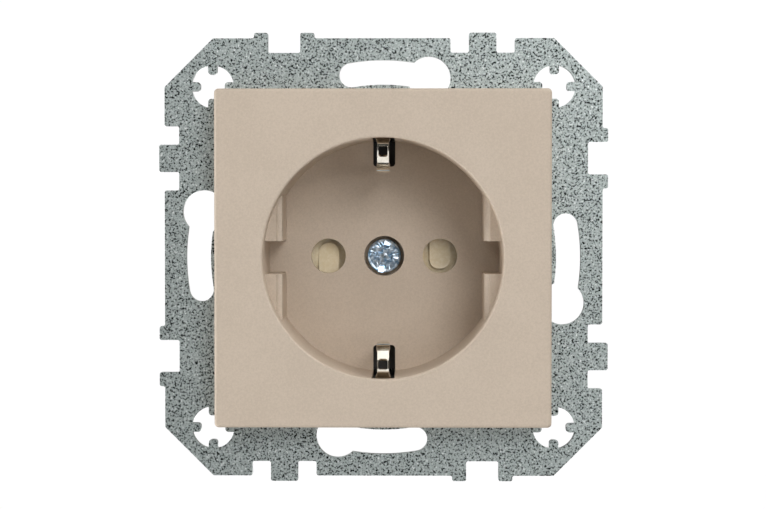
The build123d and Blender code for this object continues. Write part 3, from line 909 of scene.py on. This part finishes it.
@dataclass(frozen=True)
class Base:
    """The base with its contacts and its three wire clamps."""

    screw_level_mm: float = 22.0
    screw_tip_mm: float = -21.4
    thread_length_mm: float = 6.4
    thread_radius_mm: float = 1.75
    thread_pitch_mm: float = 0.6
    places_mm: tuple[tuple[str, float], ...] = (("left", -9.5), ("earth", 0.0), ("right", 9.5))

    def build(self) -> None:
        """Dress the housing and contacts, and thread the clamp screws."""
        dress("base_housing", HOUSING_PLASTIC)
        for side in ("left", "right"):
            dress(f"pin_contact_{side}", CONTACT_BRASS)
        for side, across in self.places_mm:
            dress(f"clamp_plate_{side}", SCREW_ZINC)
            thread = RolledThread(
                (across, self.screw_level_mm, self.screw_tip_mm), (0, 0, 1), 0.0,
                self.thread_length_mm, self.thread_radius_mm, self.thread_pitch_mm,
            )
            thread.replace(f"terminal_screw_{side}", "base")


@dataclass(frozen=True)
class Claws:
    """The two expansion claws with the screws that spread them."""

    offset_mm: float = 23.6
    thread_mm: tuple[float, float] = (-1.2, 22.8)
    radius_mm: float = 1.5
    pitch_mm: float = 0.5

    def build(self) -> None:
        """Dress the claws and thread their screws."""
        for side, sign in (("left", -1), ("right", 1)):
            dress(f"claw_{side}", CLAW_STEEL)
            thread = RolledThread(
                (sign * self.offset_mm, 0, 0), (0, 1, 0), *self.thread_mm, self.radius_mm, self.pitch_mm
            )
            thread.replace(f"claw_screw_{side}", f"claw_screw_{side}")


@dataclass(frozen=True)
class Lamp:
    """One soft light that faces the socket; the long narrow ones stand in for white cards."""

    name: str
    azimuth: float
    elevation: float
    watts: float
    width_mm: float = 350.0
    height_mm: float = 350.0
    distance_mm: float = 900.0

    def hang(self) -> None:
        """Put the light in its place."""
        data = bpy.data.lights.new(self.name, "AREA")
        data.shape = "RECTANGLE"
        data.size = self.width_mm * MM
        data.size_y = self.height_mm * MM
        data.energy = self.watts
        light = bpy.data.objects.new(self.name, data)
        around, up = math.radians(self.azimuth), math.radians(self.elevation)
        heading = Vector((math.sin(around) * math.cos(up), -math.cos(around) * math.cos(up), math.sin(up)))
        light.location = self.distance_mm * MM * heading
        light.rotation_euler = (-light.location).to_track_quat("-Z", "Y").to_euler()
        bpy.context.scene.collection.objects.link(light)


@dataclass(frozen=True)
class Studio:
    """The white room, its lights and the camera."""

    focal_px: float = 2040.0
    sensor_mm: float = 36.0
    near_m: float = 0.01
    far_m: float = 20.0
    camera_mm: Point = (4.5, -337.7, 7.9)
    yaw_deg: float = 0.776
    pitch_deg: float = 1.263
    floor_z_mm: float = -620.0
    floor_half_mm: float = 4000.0
    fill: float = 0.06
    glow: float = 1.02
    lamps: tuple[Lamp, ...] = (
        Lamp("key_right", 75, 42, 3.2),
        Lamp("wide_left", -80, -5, 4.5, 700.0, 700.0),
        Lamp("front_right", 22, 27, 2.75),
        Lamp("right_level", 30, 0, 1.05),
        Lamp("low_left", -74, -48, 4.2, 400.0, 400.0, 750.0),
        Lamp("left_high", -40, 50, 0.7),
        Lamp("left_front", -20, 24, 0.5),
        Lamp("table_card", 0, -42, 0.3, 160.0, 600.0, 500.0),
        Lamp("ceiling_card", 0, 58, 0.4, 160.0, 600.0, 600.0),
        Lamp("back_left", -140, 25, 2.8),
        Lamp("back_right", 150, 40, 2.6),
        Lamp("back_low", 170, -20, 2.0),
    )

    def camera(self) -> None:
        """Place the camera where the photograph was taken from."""
        data = bpy.data.cameras.new("photo_camera")
        data.sensor_width = self.sensor_mm
        data.lens = self.focal_px * data.sensor_width / PHOTO_WIDTH_PX
        data.clip_start = self.near_m
        data.clip_end = self.far_m
        camera = bpy.data.objects.new("photo_camera", data)
        camera.location = Vector(self.camera_mm) * MM
        camera.rotation_euler = (math.radians(90 - self.pitch_deg), 0.0, math.radians(self.yaw_deg))
        bpy.context.scene.collection.objects.link(camera)
        bpy.context.scene.camera = camera

    def white(self, tree: bpy.types.NodeTree, kind: str, output: str) -> None:
        """Fill a tree with a white glow, full for the camera and dimmer as a light source.

        Args:
            tree: The node tree, which is emptied first.
            kind: Blender's name for the node type that glows.
            output: Blender's name for the tree's output node type.
        """
        tree.nodes.clear()
        seen = add_node(tree, "ShaderNodeLightPath")["Is Camera Ray"]
        dim, full = (
            add_node(tree, kind, {"Color": (1, 1, 1, 1), "Strength": strength})[0]
            for strength in (self.fill, self.glow)
        )
        mixed = add_node(tree, "ShaderNodeMixShader", None, {"Fac": seen, 1: dim, 2: full})[0]
        add_node(tree, output, None, {"Surface": mixed})

    def room(self) -> None:
        """Make the white surroundings and the pale floor."""
        world = bpy.data.worlds.new("white_room")
        world.use_nodes = True
        self.white(world.node_tree, "ShaderNodeBackground", "ShaderNodeOutputWorld")
        bpy.context.scene.world = world
        half = self.floor_half_mm * MM
        height = self.floor_z_mm * MM
        mesh = bpy.data.meshes.new("floor")
        corners = [(-half, -half, height), (half, -half, height), (half, half, height), (-half, half, height)]
        mesh.from_pydata(corners, [], [(0, 1, 2, 3)])
        pale = bpy.data.materials.new("pale_floor")
        pale.use_nodes = True
        self.white(pale.node_tree, "ShaderNodeEmission", "ShaderNodeOutputMaterial")
        mesh.materials.append(pale)
        floor = bpy.data.objects.new("floor", mesh)
        bpy.context.scene.collection.objects.link(floor)

    def build(self) -> None:
        """Set up the room, the lights and the camera."""
        bpy.context.scene.view_settings.view_transform = "Standard"
        self.camera()
        self.room()
        for lamp in self.lamps:
            lamp.hang()
        LOG.info("studio: %d lamps", len(self.lamps))


def main() -> None:
    """Build the socket's looks in order."""
    logging.basicConfig(level=logging.INFO)
    for part in (Plate(), Yoke(), CentreScrew(), EarthStrap(), ShutterUnit(), Base(), Claws(), Studio()):
        LOG.info("%s", type(part).__name__)
        part.build()


if __name__ == "__main__":
    main()
